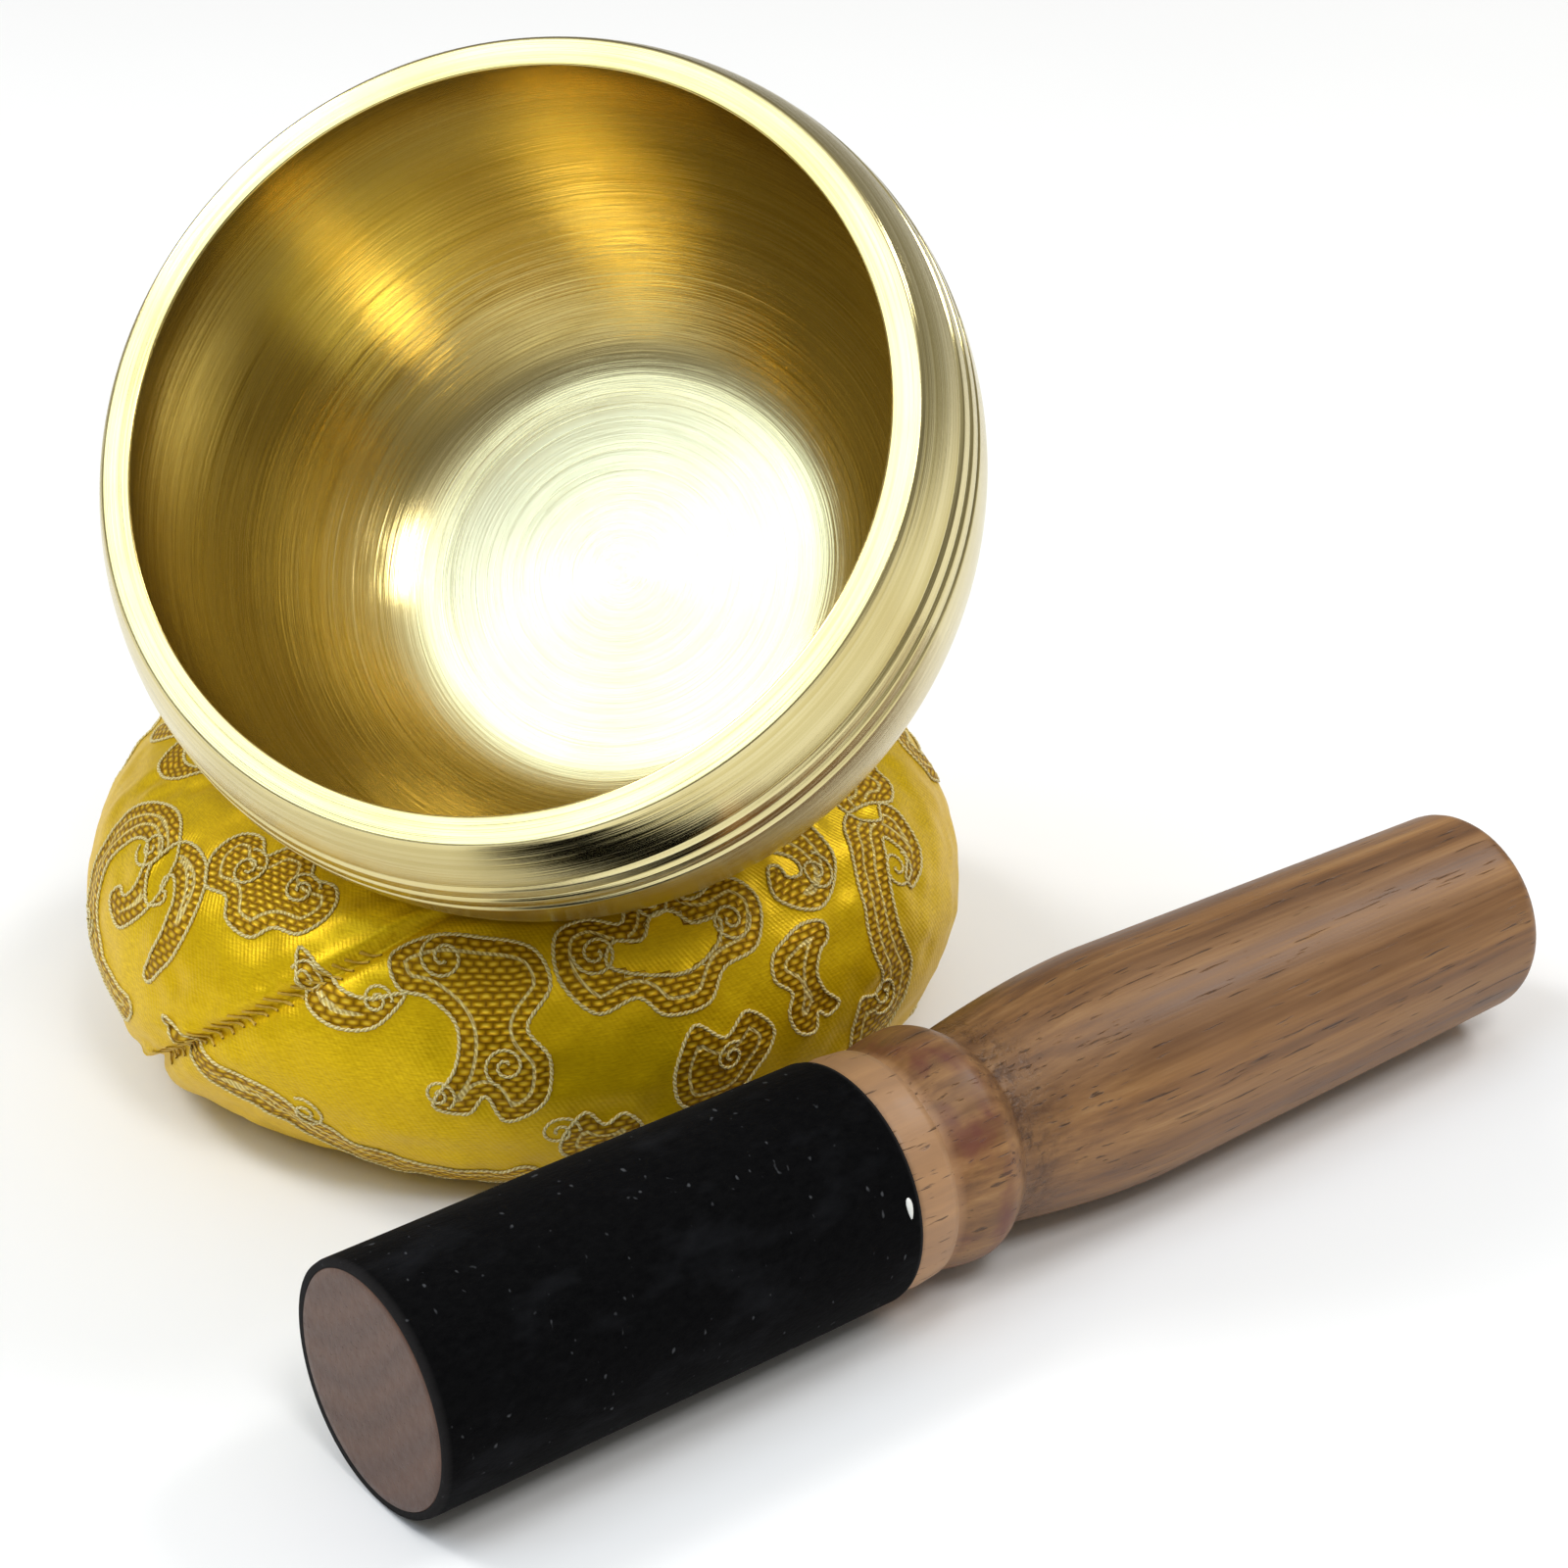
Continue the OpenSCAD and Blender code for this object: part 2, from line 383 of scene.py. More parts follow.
def cord_material():
    m = bpy.data.materials.new("cream_cord")
    g = Graph(m)
    step = g.add("Attribute", attribute_name="twist").outputs["Fac"]
    ply = g.math("SINE", g.math("MULTIPLY", step, TAU))
    fleck = g.noise(g.place(), 2500.0, 2.0, 0.6)
    colour = g.ramp(g.math("ADD", g.span(ply, -1.0, 1.0, 0.0, 0.8), g.math("MULTIPLY", fleck, 0.3)),
                    (0.0, rgb(166, 132, 36)), (0.35, rgb(222, 200, 116)), (1.0, rgb(246, 234, 176)))
    g.surface(Base_Color=colour, Roughness=0.45, Sheen_Weight=0.2, Normal=g.bump(ply, 0.00006, 0.6))
    return m


def thread_material():
    m = bpy.data.materials.new("sewing_thread")
    g = Graph(m)
    strand = g.noise(g.place(), 3000.0, 3.0, 0.7)
    g.surface(Base_Color=g.mix(strand, rgb(176, 136, 14), rgb(226, 190, 60)), Roughness=0.5,
              Sheen_Weight=0.2, Normal=g.bump(strand, 0.00008, 0.6))
    return m


def wood_material():
    m = bpy.data.materials.new("turned_wood")
    g = Graph(m)
    place = g.place()
    x, y, z = g.parts(place)
    # Growth rings about a pith well outside the stick, drawn out along the grain
    wobble = g.noise(g.scaled(place, (30.0, 30.0, 7.0)), 1.0, 2.0, 0.5)
    away_x, away_y = g.math("ADD", x, 0.021), g.math("ADD", y, -0.013)
    ring = g.math("ADD", g.math("MULTIPLY", away_x, away_x), g.math("MULTIPLY", away_y, away_y))
    ring = g.math("SQRT", ring)
    ring = g.math("ADD", g.math("MULTIPLY", ring, 520.0), g.math("MULTIPLY", wobble, 4.5))
    band = g.span(g.math("SINE", g.math("MULTIPLY", ring, math.pi)), -1.0, 1.0)
    streak = g.noise(g.scaled(place, (900.0, 900.0, 16.0)), 1.0, 4.0, 0.65)
    broad = g.noise(g.scaled(place, (160.0, 160.0, 9.0)), 1.0, 3.0, 0.6)
    patch = g.noise(place, 55.0, 3.0, 0.6)
    pores = g.noise(g.scaled(place, (2600.0, 2600.0, 130.0)), 1.0, 2.0, 0.6)
    pore = g.span(pores, 0.63, 0.70)
    tone = g.math("ADD", g.math("MULTIPLY", band, 0.14), g.math("MULTIPLY", streak, 0.86))
    colour = g.ramp(tone, (0.25, rgb(84, 52, 24)), (0.42, rgb(122, 82, 42)),
                    (0.58, rgb(150, 107, 60)), (0.8, rgb(180, 138, 88)))
    colour = g.mix(g.span(broad, 0.42, 0.72, 0.0, 0.7), colour, rgb(88, 58, 36))
    colour = g.mix(g.span(patch, 0.35, 0.65, 0.0, 0.25), colour, rgb(148, 112, 82))
    # Freshly cut and paler between the suede and the bead
    colour = g.mix(g.span(z, 0.0545, 0.0535, 0.0, 0.55), colour, rgb(192, 150, 112))
    colour = g.mix(g.math("MULTIPLY", pore, 0.75), colour, rgb(52, 30, 16))
    # Reddish wax and dark marks on the bead. The crease is darkened all round as painted shade, with noisy
    # dirt marks on top
    on_bead = g.math("MULTIPLY", g.span(z, 0.0535, 0.0555), g.span(z, 0.0605, 0.0585))
    stain = g.math("MULTIPLY", on_bead, g.span(g.noise(place, 190.0, 3.0, 0.6), 0.45, 0.62))
    colour = g.mix(g.math("MULTIPLY", stain, 0.75), colour, rgb(104, 52, 44))
    creased = g.math("MULTIPLY", g.span(z, 0.0600, 0.0624), g.span(z, 0.0680, 0.0630))
    marks = g.span(g.noise(place, 900.0, 3.0, 0.7), 0.45, 0.65)
    # Painted shade: an even darkening over the crease, plus dirt where the marks are
    crease_shade_and_dirt = g.math("MULTIPLY", creased, g.math("ADD", g.math("MULTIPLY", marks, 0.5), 0.3))
    colour = g.mix(crease_shade_and_dirt, colour, rgb(62, 36, 20))
    # The sawn end shows fine rays across its rings
    end = g.span(z, 0.0006, 0.0003)
    rays = g.noise(g.scaled(place, (700.0, 3200.0, 1.0)), 1.0, 3.0, 0.7)
    grain = g.mix(rays, rgb(66, 40, 27), rgb(106, 72, 52))
    grain = g.mix(g.math("MULTIPLY", band, 0.4), grain, rgb(62, 38, 28))
    colour = g.mix(end, colour, grain)
    height = g.math("SUBTRACT", g.math("MULTIPLY", streak, 0.5), pore)
    height = g.math("SUBTRACT", height, g.math("MULTIPLY", creased, marks))
    g.surface(Base_Color=colour, Roughness=g.span(streak, 0.3, 0.7, 0.38, 0.52), Specular_IOR_Level=0.45,
              Normal=g.bump(height, 0.00012, 0.6))
    return m


def suede_material():
    m = bpy.data.materials.new("black_suede")
    g = Graph(m)
    place = g.place()
    nap = g.noise(g.scaled(place, (1500.0, 1500.0, 900.0)), 1.0, 4.0, 0.75)
    smear = g.noise(g.scaled(place, (240.0, 240.0, 130.0)), 1.0, 3.0, 0.6)
    dust = g.span(g.noise(g.scaled(place, (1000.0, 1000.0, 1400.0)), 1.0, 1.0, 0.3), 0.735, 0.80)
    colour = g.mix(g.span(nap, 0.3, 0.7), rgb(2, 2, 3), rgb(10, 10, 11))
    colour = g.mix(g.span(smear, 0.52, 0.8, 0.0, 0.55), colour, rgb(30, 31, 34))
    colour = g.mix(g.math("MULTIPLY", dust, 0.35), colour, rgb(110, 112, 116))
    _, _, z = g.parts(place)
    edge = g.math("MAXIMUM", g.span(z, 0.0007, 0.0001), g.span(z, 0.0484, 0.0487))
    colour = g.mix(g.math("MULTIPLY", edge, 0.4), colour, rgb(52, 50, 50))
    g.surface(Base_Color=colour, Roughness=0.95, Specular_IOR_Level=0.06, Sheen_Weight=0.01,
              Sheen_Roughness=0.5, Normal=g.bump(nap, 0.00015, 0.7))
    return m


def glue_material():
    m = bpy.data.materials.new("dried_glue")
    g = Graph(m)
    g.surface(Base_Color=g.mix(g.noise(g.place(), 800.0), rgb(226, 226, 220), rgb(250, 250, 246)),
              Roughness=0.15)
    return m


BRASS, BROCADE, CORD, THREAD = brass_material(), brocade_material(), cord_material(), thread_material()
WOOD, SUEDE, GLUE = wood_material(), suede_material(), glue_material()


# ---------------------------------------------------------------- bowl

def shoulder_r():
    inset = BELLY_R - LIP_R
    return (inset * inset + BELLY_DROP * BELLY_DROP) / (2 * inset)


def bowl_outline():
    belly_z = BOWL_H - BELLY_DROP
    upper = shoulder_r()
    low_c, up_c = (BELLY_R - WALL_CURVE_R, belly_z), (BELLY_R - upper, belly_z)
    foot_angle = -math.degrees(math.asin(belly_z / WALL_CURVE_R))
    lip_angle = math.degrees(math.asin(BELLY_DROP / upper))
    outer = np.concatenate([arc(low_c, WALL_CURVE_R, foot_angle, 0, 200),
                            arc(up_c, upper, 0, lip_angle, 300)[1:]])
    low, high = outer[outer[:, 1] < BOWL_H - 12], outer[outer[:, 1] >= BOWL_H - 12]
    outer = np.concatenate([resample(low, 0.4), resample(high, 0.11)[1:]])
    drop = BOWL_H - outer[:, 1]
    for groove in GROOVE_DROPS:
        outer[:, 0] -= np.clip(1 - np.abs(drop - groove) / (GROOVE_W / 2), 0, 1) * GROOVE_DEPTH
    inner_low, inner_up = WALL_CURVE_R - WALL_T, upper - WALL_T
    top_angle = math.degrees(math.asin(BELLY_DROP / inner_up))
    # The curve between wall and bottom touches both
    reach, rise = inner_low - INNER_BLEND_R, belly_z - FLOOR_T - INNER_BLEND_R
    blend_c = (low_c[0] + math.sqrt(reach * reach - rise * rise), FLOOR_T + INNER_BLEND_R)
    blend_angle = -math.degrees(math.asin(rise / reach))
    inner = np.concatenate([arc(up_c, inner_up, top_angle, 0, 80),
                            arc(low_c, inner_low, 0, blend_angle, 100)[1:],
                            arc(blend_c, INNER_BLEND_R, blend_angle, -90, 24)[1:]])
    inner = resample(inner, 0.35)
    ease = 0.2
    lip = np.concatenate([arc((LIP_R - ease, BOWL_H - ease), ease, 10, 90, 5),
                          arc((inner[0, 0] + ease, BOWL_H - ease), ease, 90, 170, 5)])
    outer = outer[(outer[:, 1] > 0.4) & (outer[:, 1] < BOWL_H - ease)]
    foot = resample([(0, 0), (FOOT_R - 0.3, 0)], 1.0)
    return np.concatenate([foot, outer, resample(lip, 0.12), inner[inner[:, 1] < BOWL_H - ease],
                           resample([inner[-1], (0, FLOOR_T)], 0.5)[1:]])


def make_bowl():
    bowl = lathe("brass_bowl", bowl_outline(), 224, BRASS, "bowl", BOWL_POSE)
    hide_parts("bowl")


make_bowl()


# ---------------------------------------------------------------- cushion shape

GRID_U, GRID_V = 440, 216


def bowl_clearance(points):
    """Distance of points from the bowl seen as a solid, and the way out of it."""
    turn = np.array(BOWL_POSE.to_3x3())
    local = (points - np.array(BOWL_POSE.translation) / MM) @ turn
    radius, z = np.hypot(local[..., 0], local[..., 1]), local[..., 2]
    away_r, away_z = radius - (BELLY_R - WALL_CURVE_R), z - (BOWL_H - BELLY_DROP)
    reach = np.maximum(np.hypot(away_r, away_z), 1e-6)
    low = away_z < 0
    wall = np.where(low, reach - WALL_CURVE_R, radius - BELLY_R)
    wall_r, wall_z = np.where(low, away_r / reach, 1.0), np.where(low, away_z / reach, 0.0)
    on_foot = -z > wall
    out_r, out_z = np.where(on_foot, 0.0, wall_r), np.where(on_foot, -1.0, wall_z)
    ratio = out_r / np.maximum(radius, 1e-6)
    way = np.stack([local[..., 0] * ratio, local[..., 1] * ratio, out_z], -1) @ turn.T
    return np.maximum(wall, -z), way


def out_of_bowl(points, gap, soft):
    distance, way = bowl_clearance(points)
    push = gap + soft * np.logaddexp(0, (distance - gap) / soft) - distance
    return points + way * push[..., None]


def tube_place(t):
    """Radius and height of the section at t of the girth, from the outermost point over the top."""
    quarter = TUBE_R * math.pi / 2
    length = (t % 1.0) * (4 * quarter + 2 * CREST_W)
    legs = [(quarter, OUTER_ARC_R, 0), (CREST_W, None, 1), (2 * quarter, INNER_ARC_R, 90),
            (CREST_W, None, -1), (quarter, OUTER_ARC_R, 270)]
    radius, height, start = np.zeros_like(length), np.zeros_like(length), 0.0
    for size, centre, turn in legs:
        on = (length >= start) & (length <= start + size + 1e-9)
        if centre is None:
            part = (length - start) / size
            from_r, to_r = (OUTER_ARC_R, INNER_ARC_R) if turn > 0 else (INNER_ARC_R, OUTER_ARC_R)
            radius = np.where(on, from_r + part * (to_r - from_r), radius)
            height = np.where(on, turn * TUBE_R, height)
        else:
            angle = np.radians(turn) + (length - start) / TUBE_R
            radius = np.where(on, centre + TUBE_R * np.cos(angle), radius)
            height = np.where(on, TUBE_R * np.sin(angle), height)
        start += size
    return radius, height


GIRTH = TAU * TUBE_R + 2 * CREST_W


def ring_points(u, t):
    """The stuffed ring at u degrees round it and t of the tube's girth."""
    radius, height = tube_place(t)
    cu, su = np.cos(np.radians(u)), np.sin(np.radians(u))
    # Uneven stuffing, and a flank drawn in below the joint
    lower = np.clip(-height / TUBE_R, 0, 1)
    swell = 0.35 * np.cos(np.radians(3 * u - 40)) + 0.25 * np.cos(np.radians(5 * u + 80))
    drawn = 1.6 * lower * np.exp(-(((u - 244 + 180) % 360 - 180) / 15) ** 2)
    radius = radius + swell * np.clip((radius - INNER_ARC_R) / TUBE_R, 0, 1) - drawn
    height = height * (1 + 0.012 * np.cos(np.radians(2 * u + 30)))
    z = TUBE_Z + height
    z = 0.5 * (z + np.sqrt(z * z + 0.5))
    return np.stack([radius * cu, radius * su, z], -1)


def girth_degrees(t):
    """Degrees round the tube's outer arc, for places up to the crest."""
    return ((t + 0.5) % 1.0 - 0.5) * GIRTH / TUBE_R * 180 / math.pi


def joint_place(u, t):
    """Millimetres across and along the slanting joint."""
    v = girth_degrees(t)
    off = (u - JOINT_AZ - JOINT_SLOPE * v + 180) % 360 - 180
    return np.radians(off) * RING_R * 0.82, np.radians(v) * TUBE_R / 0.72


def joint_relief(u, t):
    """Height of the skin beside the joint: a sunk line, an overlap, and gathers that die away."""
    across, along = joint_place(u, t)
    sunk = -0.9 * np.exp(-(across / 0.75) ** 2)
    lap = 0.5 * np.exp(-((across + 1.3) / 0.9) ** 2)
    low = np.clip(1.15 - (along + 10) / 40, 0.3, 1)
    tuck = np.abs(np.sin(along * math.pi / 3.4 + 0.7 * np.sin(along * 0.45)))
    gather = -0.55 * (1 - tuck) ** 3 * np.exp(-((across + 1.6) / 2.2) ** 2) * low
    swell = 0.45 * np.exp(-((across - 3.6) / 2.4) ** 2) + 0.5 * np.exp(-((across + 4.2) / 2.6) ** 2)
    return sunk + lap + gather + swell


def normals_of(points):
    """Unit normals of a grid that closes both ways, pointing out of the tube."""
    du = np.roll(points, -1, 0) - np.roll(points, 1, 0)
    dt = np.roll(points, -1, 1) - np.roll(points, 1, 1)
    n = np.cross(du, dt)
    return n / np.maximum(np.linalg.norm(n, axis=-1, keepdims=True), 1e-9)


def grid_places(rows, columns):
    return np.meshgrid(np.arange(rows) * 360 / rows, np.arange(columns) / columns, indexing="ij")


def pressed(points):
    """Keeps the skin off the bowl and on the floor."""
    points = out_of_bowl(points, SKIN_GAP, 0.55)
    points[..., 2] = np.maximum(points[..., 2], 0.05)
    return points


def blown_up(rows, columns):
    """Displacement of a coarse skin under inside pressure, with the pressed and sewn places held."""
    u, t = grid_places(rows, columns)
    points = pressed(ring_points(u, t))
    across, _ = joint_place(u, t)
    clear, _ = bowl_clearance(points)
    held = np.clip(1 - (clear - SKIN_GAP) / 4, 0, 1)
    held = np.maximum(held, np.clip(1 - (points[..., 2] - 0.4) / 3, 0, 1))
    held = np.maximum(held, np.exp(-(across / 2.2) ** 2))
    rng = np.random.default_rng(11)
    slack = points + normals_of(points) * rng.normal(0, 0.12, u.shape)[..., None]
    scale = 10.0
    mesh = bpy.data.meshes.new("skin_trial")
    faces = grid_faces(rows, columns, wrap_rows=True)
    mesh.from_pydata((slack.reshape(-1, 3) * MM * scale).tolist(), [], faces.tolist())
    trial = bpy.data.objects.new("skin_trial", mesh)
    bpy.context.scene.collection.objects.link(trial)
    group = trial.vertex_groups.new(name="held")
    for index, weight in enumerate(held.ravel()):
        if weight > 0.02:
            group.add([index], float(weight), "REPLACE")
    cloth = trial.modifiers.new("cloth", "CLOTH")
    settings = cloth.settings
    settings.quality = 6
    settings.mass = 0.3
    settings.tension_stiffness = settings.compression_stiffness = 80
    settings.shear_stiffness = 30
    settings.bending_stiffness = 2.0
    settings.air_damping = 5.0
    settings.use_pressure = True
    settings.uniform_pressure_force = 0.5
    settings.effector_weights.gravity = 0.0
    settings.vertex_group_mass = "held"
    settings.shrink_min = 0.0
    cloth.point_cache.frame_start, cloth.point_cache.frame_end = 1, 20
    scene = bpy.context.scene
    for number in range(1, 21):
        scene.frame_set(number)
    evaluated = trial.evaluated_get(bpy.context.evaluated_depsgraph_get())
    after = np.empty(rows * columns * 3)
    evaluated.data.vertices.foreach_get("co", after)
    scene.frame_set(1)
    bpy.data.objects.remove(trial)
    bpy.data.meshes.remove(mesh)
    move = after.reshape(rows, columns, 3) / (MM * scale) - points
    size = np.linalg.norm(move, axis=-1, keepdims=True)
    print("cloth move mm: mean", round(float(size.mean()), 3), "max", round(float(size.max()), 3))
    return move * np.minimum(1, 0.9 / np.maximum(size, 1e-9))


def finer(values, rows, columns):
    """A closed grid of values, read at a finer grid's places."""
    for axis, count in ((0, rows), (1, columns)):
        old = values.shape[axis]
        at = np.arange(count) * old / count
        low = np.floor(at).astype(int)
        part = (at - low).reshape([-1 if k == axis else 1 for k in range(values.ndim)])
        part = part * part * (3 - 2 * part)
        values = np.take(values, low % old, axis) * (1 - part) + np.take(values, (low + 1) % old, axis) * part
    return values


# ---------------------------------------------------------------- woven motifs

def closed_curve(points, step=0.3):
    """A smooth closed line through points."""
    p = np.asarray(points, float)
    before, after, beyond = np.roll(p, 1, 0), np.roll(p, -1, 0), np.roll(p, -2, 0)
    t = np.linspace(0, 1, 12, endpoint=False)[None, :, None]
    a, b, c, d = (q[:, None, :] for q in (before, p, after, beyond))
    line = 0.5 * (2 * b + (c - a) * t + (2 * a - 5 * b + 4 * c - d) * t ** 2
                  + (3 * b - a - 3 * c + d) * t ** 3)
    line = line.reshape(-1, 2)
    return resample(np.concatenate([line, line[:1]]), step)[:-1]


def band(centre, widths):
    """Outline points of a band along a centre line, as wide as each of widths."""
    c = np.asarray(centre, float)
    way = np.gradient(c, axis=0)
    side = np.stack([-way[:, 1], way[:, 0]], -1) / np.linalg.norm(way, axis=1, keepdims=True)
    half = np.asarray(widths, float)[:, None] / 2
    return np.concatenate([c + side * half, (c - side * half)[::-1]])


# Outlines in millimetres, to the right and up from the middle of each motif
CLOUD = [(-8.5, -0.5), (-7.6, 2.8), (-5, 3.8), (-2.8, 2.6), (-1.4, 4.8), (1.6, 5.2), (3.6, 3.2), (6.6, 3.2),
         (8.4, 0.6), (7, -2.4), (3.8, -3), (1.8, -5), (-1.6, -4.8), (-3.4, -3), (-6.6, -3.4)]
CLOUD_HEART = [(-5, -0.2), (-4, 1.4), (-1.8, 1), (-0.4, 2.6), (1.4, 2.4), (2.6, 1), (4.8, 0.6),
               (4, -1.2), (1, -2.4), (-2.6, -1.6)]
SCROLL = band([(6.5, -8.5), (3.8, -9), (-0.5, -7), (-3.6, -3), (-3.8, 2), (-1.6, 6), (2.4, 7.6), (5.8, 5.4),
               (6.4, 1.8), (4.2, -0.6), (1.8, 0.4)], [1.4, 3.6, 4, 4.2, 4, 3.8, 3.6, 3.6, 3.4, 2.8, 1.6])
CURL = band([(-9, -3), (-5.6, 2), (-1, 4.4), (3.6, 3.8), (6, 0.8), (4.4, -2.4), (1.2, -2.2), (0.6, 0)],
            [1.8, 3.8, 4.8, 5, 4.6, 3.8, 2.8, 1.4])
LEAF = [(-5.4, 2), (-3.4, -1.6), (0, -3), (4, -1.8), (5.8, 2), (2.8, 0.6), (0.4, 0.4), (-2.2, 1.2)]
LOBES = [(-7, 5.6), (-3, 7.4), (2, 7), (5.6, 5.6), (7, 2), (4.8, -1.4), (6.6, -4.6), (5.8, -8.6),
         (2.2, -10.4),
         (0.6, -7.6), (-1.2, -9.4), (-4.2, -8.4), (-1.8, -4.6), (-1.4, -0.8), (-3.8, 1.8), (-6.4, 2.6)]
STEM = band([(10, -4), (7, -7), (1, -7.4), (-6, -6), (-12, -3), (-18, -0.4), (-24, 0.6), (-30, 3.4)],
            [3, 5.2, 5.4, 4.8, 4, 4, 3.2, 1.2])
HOOK = band([(-8, -6), (-4.4, -7.4), (-1.4, -4.8), (-1.2, -0.4), (1.6, 4), (5.6, 7), (8.6, 5.2), (8.4, 1.4),
             (5.4, 0.4)],
            [5.4, 6, 4.8, 4.4, 4.2, 4.2, 3.8, 3, 1.6])
SPRIG = [(-3.6, -2.6), (-3.8, 0.6), (-1.6, 3.4), (0.4, 1.6), (2.6, 2.6), (4.4, 0.2), (2.8, -1.8), (0, -3.6)]

# Motif outline, degrees round the ring, degrees round the tube, turn, size, and 1 or -1 to mirror
MOTIFS = [
    (SCROLL, 204, 24, 8, 1.1, 1), (CLOUD, 234, 57, -8, 0.95, 1), (CURL, 218, 36, -62, 0.75, -1),
    (LEAF, 251, 31, -12, 1.0, 1), (LOBES, 268, 28, 4, 1.0, 1), (STEM, 262, -20, -6, 0.95, 1),
    (CLOUD, 294, 43, 4, 1.25, 1), (CLOUD_HEART, 294, 43, 4, 1.2, 1), (CURL, 314, 56, -22, 0.95, 1),
    (HOOK, 329, 20, 16, 1.05, 1), (LOBES, 313, 20, 10, 0.55, -1), (SPRIG, 299, 2, 10, 1.3, 1),
    (LEAF, 191, 68, 10, 0.8, 1), (SPRIG, 190, -14, 0, 0.9, -1), (CLOUD, 344, 62, 20, 0.7, 1),
    (SPRIG, 283, -18, 0, 0.9, 1), (CLOUD, 318, -30, 0, 0.8, -1), (STEM, 350, -22, 6, 0.7, -1),
]
for turn_to, mirror in ((0, 1), (62, -1), (124, 1)):
    MOTIFS += [(CLOUD, 14 + turn_to, 40, 6, 0.95, mirror), (CLOUD_HEART, 14 + turn_to, 40, 6, 1.0, mirror),
               (SCROLL, 38 + turn_to, 14, -6, 0.95, mirror), (CURL, 46 + turn_to, 62, 12, 0.85, mirror),
               (LEAF, 20 + turn_to, -6, 20, 0.9, mirror), (STEM, 26 + turn_to, -32, 0, 0.6, mirror)]


# Small spirals inside and beside the motifs: degrees round the ring, degrees round the tube,
# outer radius in millimetres, start angle, and 1 or -1 for the way they wind
SPIRALS = [
    (209, 47, 2.2, 200, 1), (199, 6, 1.8, 30, -1), (229, 60, 2.2, 120, -1), (240, 60, 1.9, 20, 1),
    (246, 33, 1.7, 160, -1), (256, 31, 1.5, 0, 1), (264, 46, 2.2, 90, 1), (272, 12, 2.0, 250, -1),
    (264, 2, 1.6, 300, 1), (284, 45, 2.1, 180, 1), (304, 45, 2.1, 0, -1), (294, 58, 1.8, 90, 1),
    (321, 48, 2.1, 60, -1), (335, 34, 2.2, 20, -1), (326, -2, 2.0, 220, 1), (300, 2, 1.6, 60, 1),
    (278, -14, 1.9, 0, 1), (246, -16, 1.9, 120, -1),
]


def spiral_lines():
    """Each spiral as places (degrees round the ring, part of the girth)."""
    lines = []
    t = np.linspace(0, 1, 60)
    for u0, v0, size, start, way in SPIRALS:
        angle = np.radians(start) + way * t * 1.6 * TAU
        reach = size * (1 - 0.85 * t)
        radius = OUTER_ARC_R + TUBE_R * math.cos(math.radians(v0))
        u = u0 + np.degrees(reach * np.cos(angle) / radius)
        v = np.radians(v0) + reach * np.sin(angle) / TUBE_R
        lines.append(np.stack([u % 360, (v * TUBE_R / GIRTH) % 1], -1))
    return lines


def motif_lines():
    """Every motif's closed outline as places (degrees round the ring, part of the girth)."""
    lines = []
    for outline, u0, v0, turn, size, mirror in MOTIFS:
        line = closed_curve(np.asarray(outline) * (size * mirror, size))
        c, s = math.cos(math.radians(turn)), math.sin(math.radians(turn))
        right, up = line[:, 0] * c - line[:, 1] * s, line[:, 0] * s + line[:, 1] * c
        v = v0 + np.degrees(up / TUBE_R)
        radius = OUTER_ARC_R + TUBE_R * np.cos(np.radians(np.clip(v, -60, 90)))
        u = u0 + np.degrees(right / radius)
        lines.append(np.stack([u % 360, (np.radians(v) * TUBE_R / GIRTH) % 1], -1))
    return lines


def motif_depth(u, t, lines):
    """Millimetres inside the nearest motif outline, less than 0 outside."""
    depth = np.full(u.shape, -2.0)
    v_mm = ((t + 0.5) % 1 - 0.5) * GIRTH
    for line in lines:
        line_v = ((line[:, 1] + 0.5) % 1 - 0.5) * GIRTH
        middle = line[0, 0]
        line_u = (line[:, 0] - middle + 180) % 360 - 180
        near = (np.abs((u - middle + 180) % 360 - 180 - line_u.mean()) < np.ptp(line_u) / 2 + 4) \
            & (v_mm > line_v.min() - 2) & (v_mm < line_v.max() + 2)
        scale = np.radians(1) * (OUTER_ARC_R + TUBE_R * math.cos(min(1.5, abs(line_v.mean()) / TUBE_R)))
        px, py = (((u[near] - middle + 180) % 360 - 180) * scale)[:, None], v_mm[near][:, None]
        ax, ay = line_u * scale, line_v
        bx, by = np.roll(ax, -1), np.roll(ay, -1)
        ex, ey = bx - ax, by - ay
        part = np.clip(((px - ax) * ex + (py - ay) * ey) / np.maximum(ex * ex + ey * ey, 1e-9), 0, 1)
        away = np.hypot(px - ax - part * ex, py - ay - part * ey).min(1)
        crossing = ((ay > py) != (by > py)) & (px < ex * (py - ay) / np.where(ey == 0, 1e-9, ey) + ax)
        signed = np.where(crossing.sum(1) % 2 == 1, away, -away)
        # A motif within another is a hole in its filling
        old = depth[near]
        depth[near] = np.where((old > 0) & (signed > -away),
                               np.minimum(old, -signed), np.maximum(old, signed))
    return depth


def on_skin(points, normals, places):
    """Points and normals of the skin grid at places (degrees, part of girth)."""
    rows, columns = points.shape[:2]
    i, j = places[:, 0] / 360 * rows, places[:, 1] * columns
    i0, j0 = np.floor(i).astype(int), np.floor(j).astype(int)
    fi, fj = (i - i0)[:, None], (j - j0)[:, None]

    def read(grid):
        a, b = grid[i0 % rows, j0 % columns], grid[(i0 + 1) % rows, j0 % columns]
        c, d = grid[i0 % rows, (j0 + 1) % columns], grid[(i0 + 1) % rows, (j0 + 1) % columns]
        return (a * (1 - fi) + b * fi) * (1 - fj) + (c * (1 - fi) + d * fi) * fj
    return read(points), read(normals)


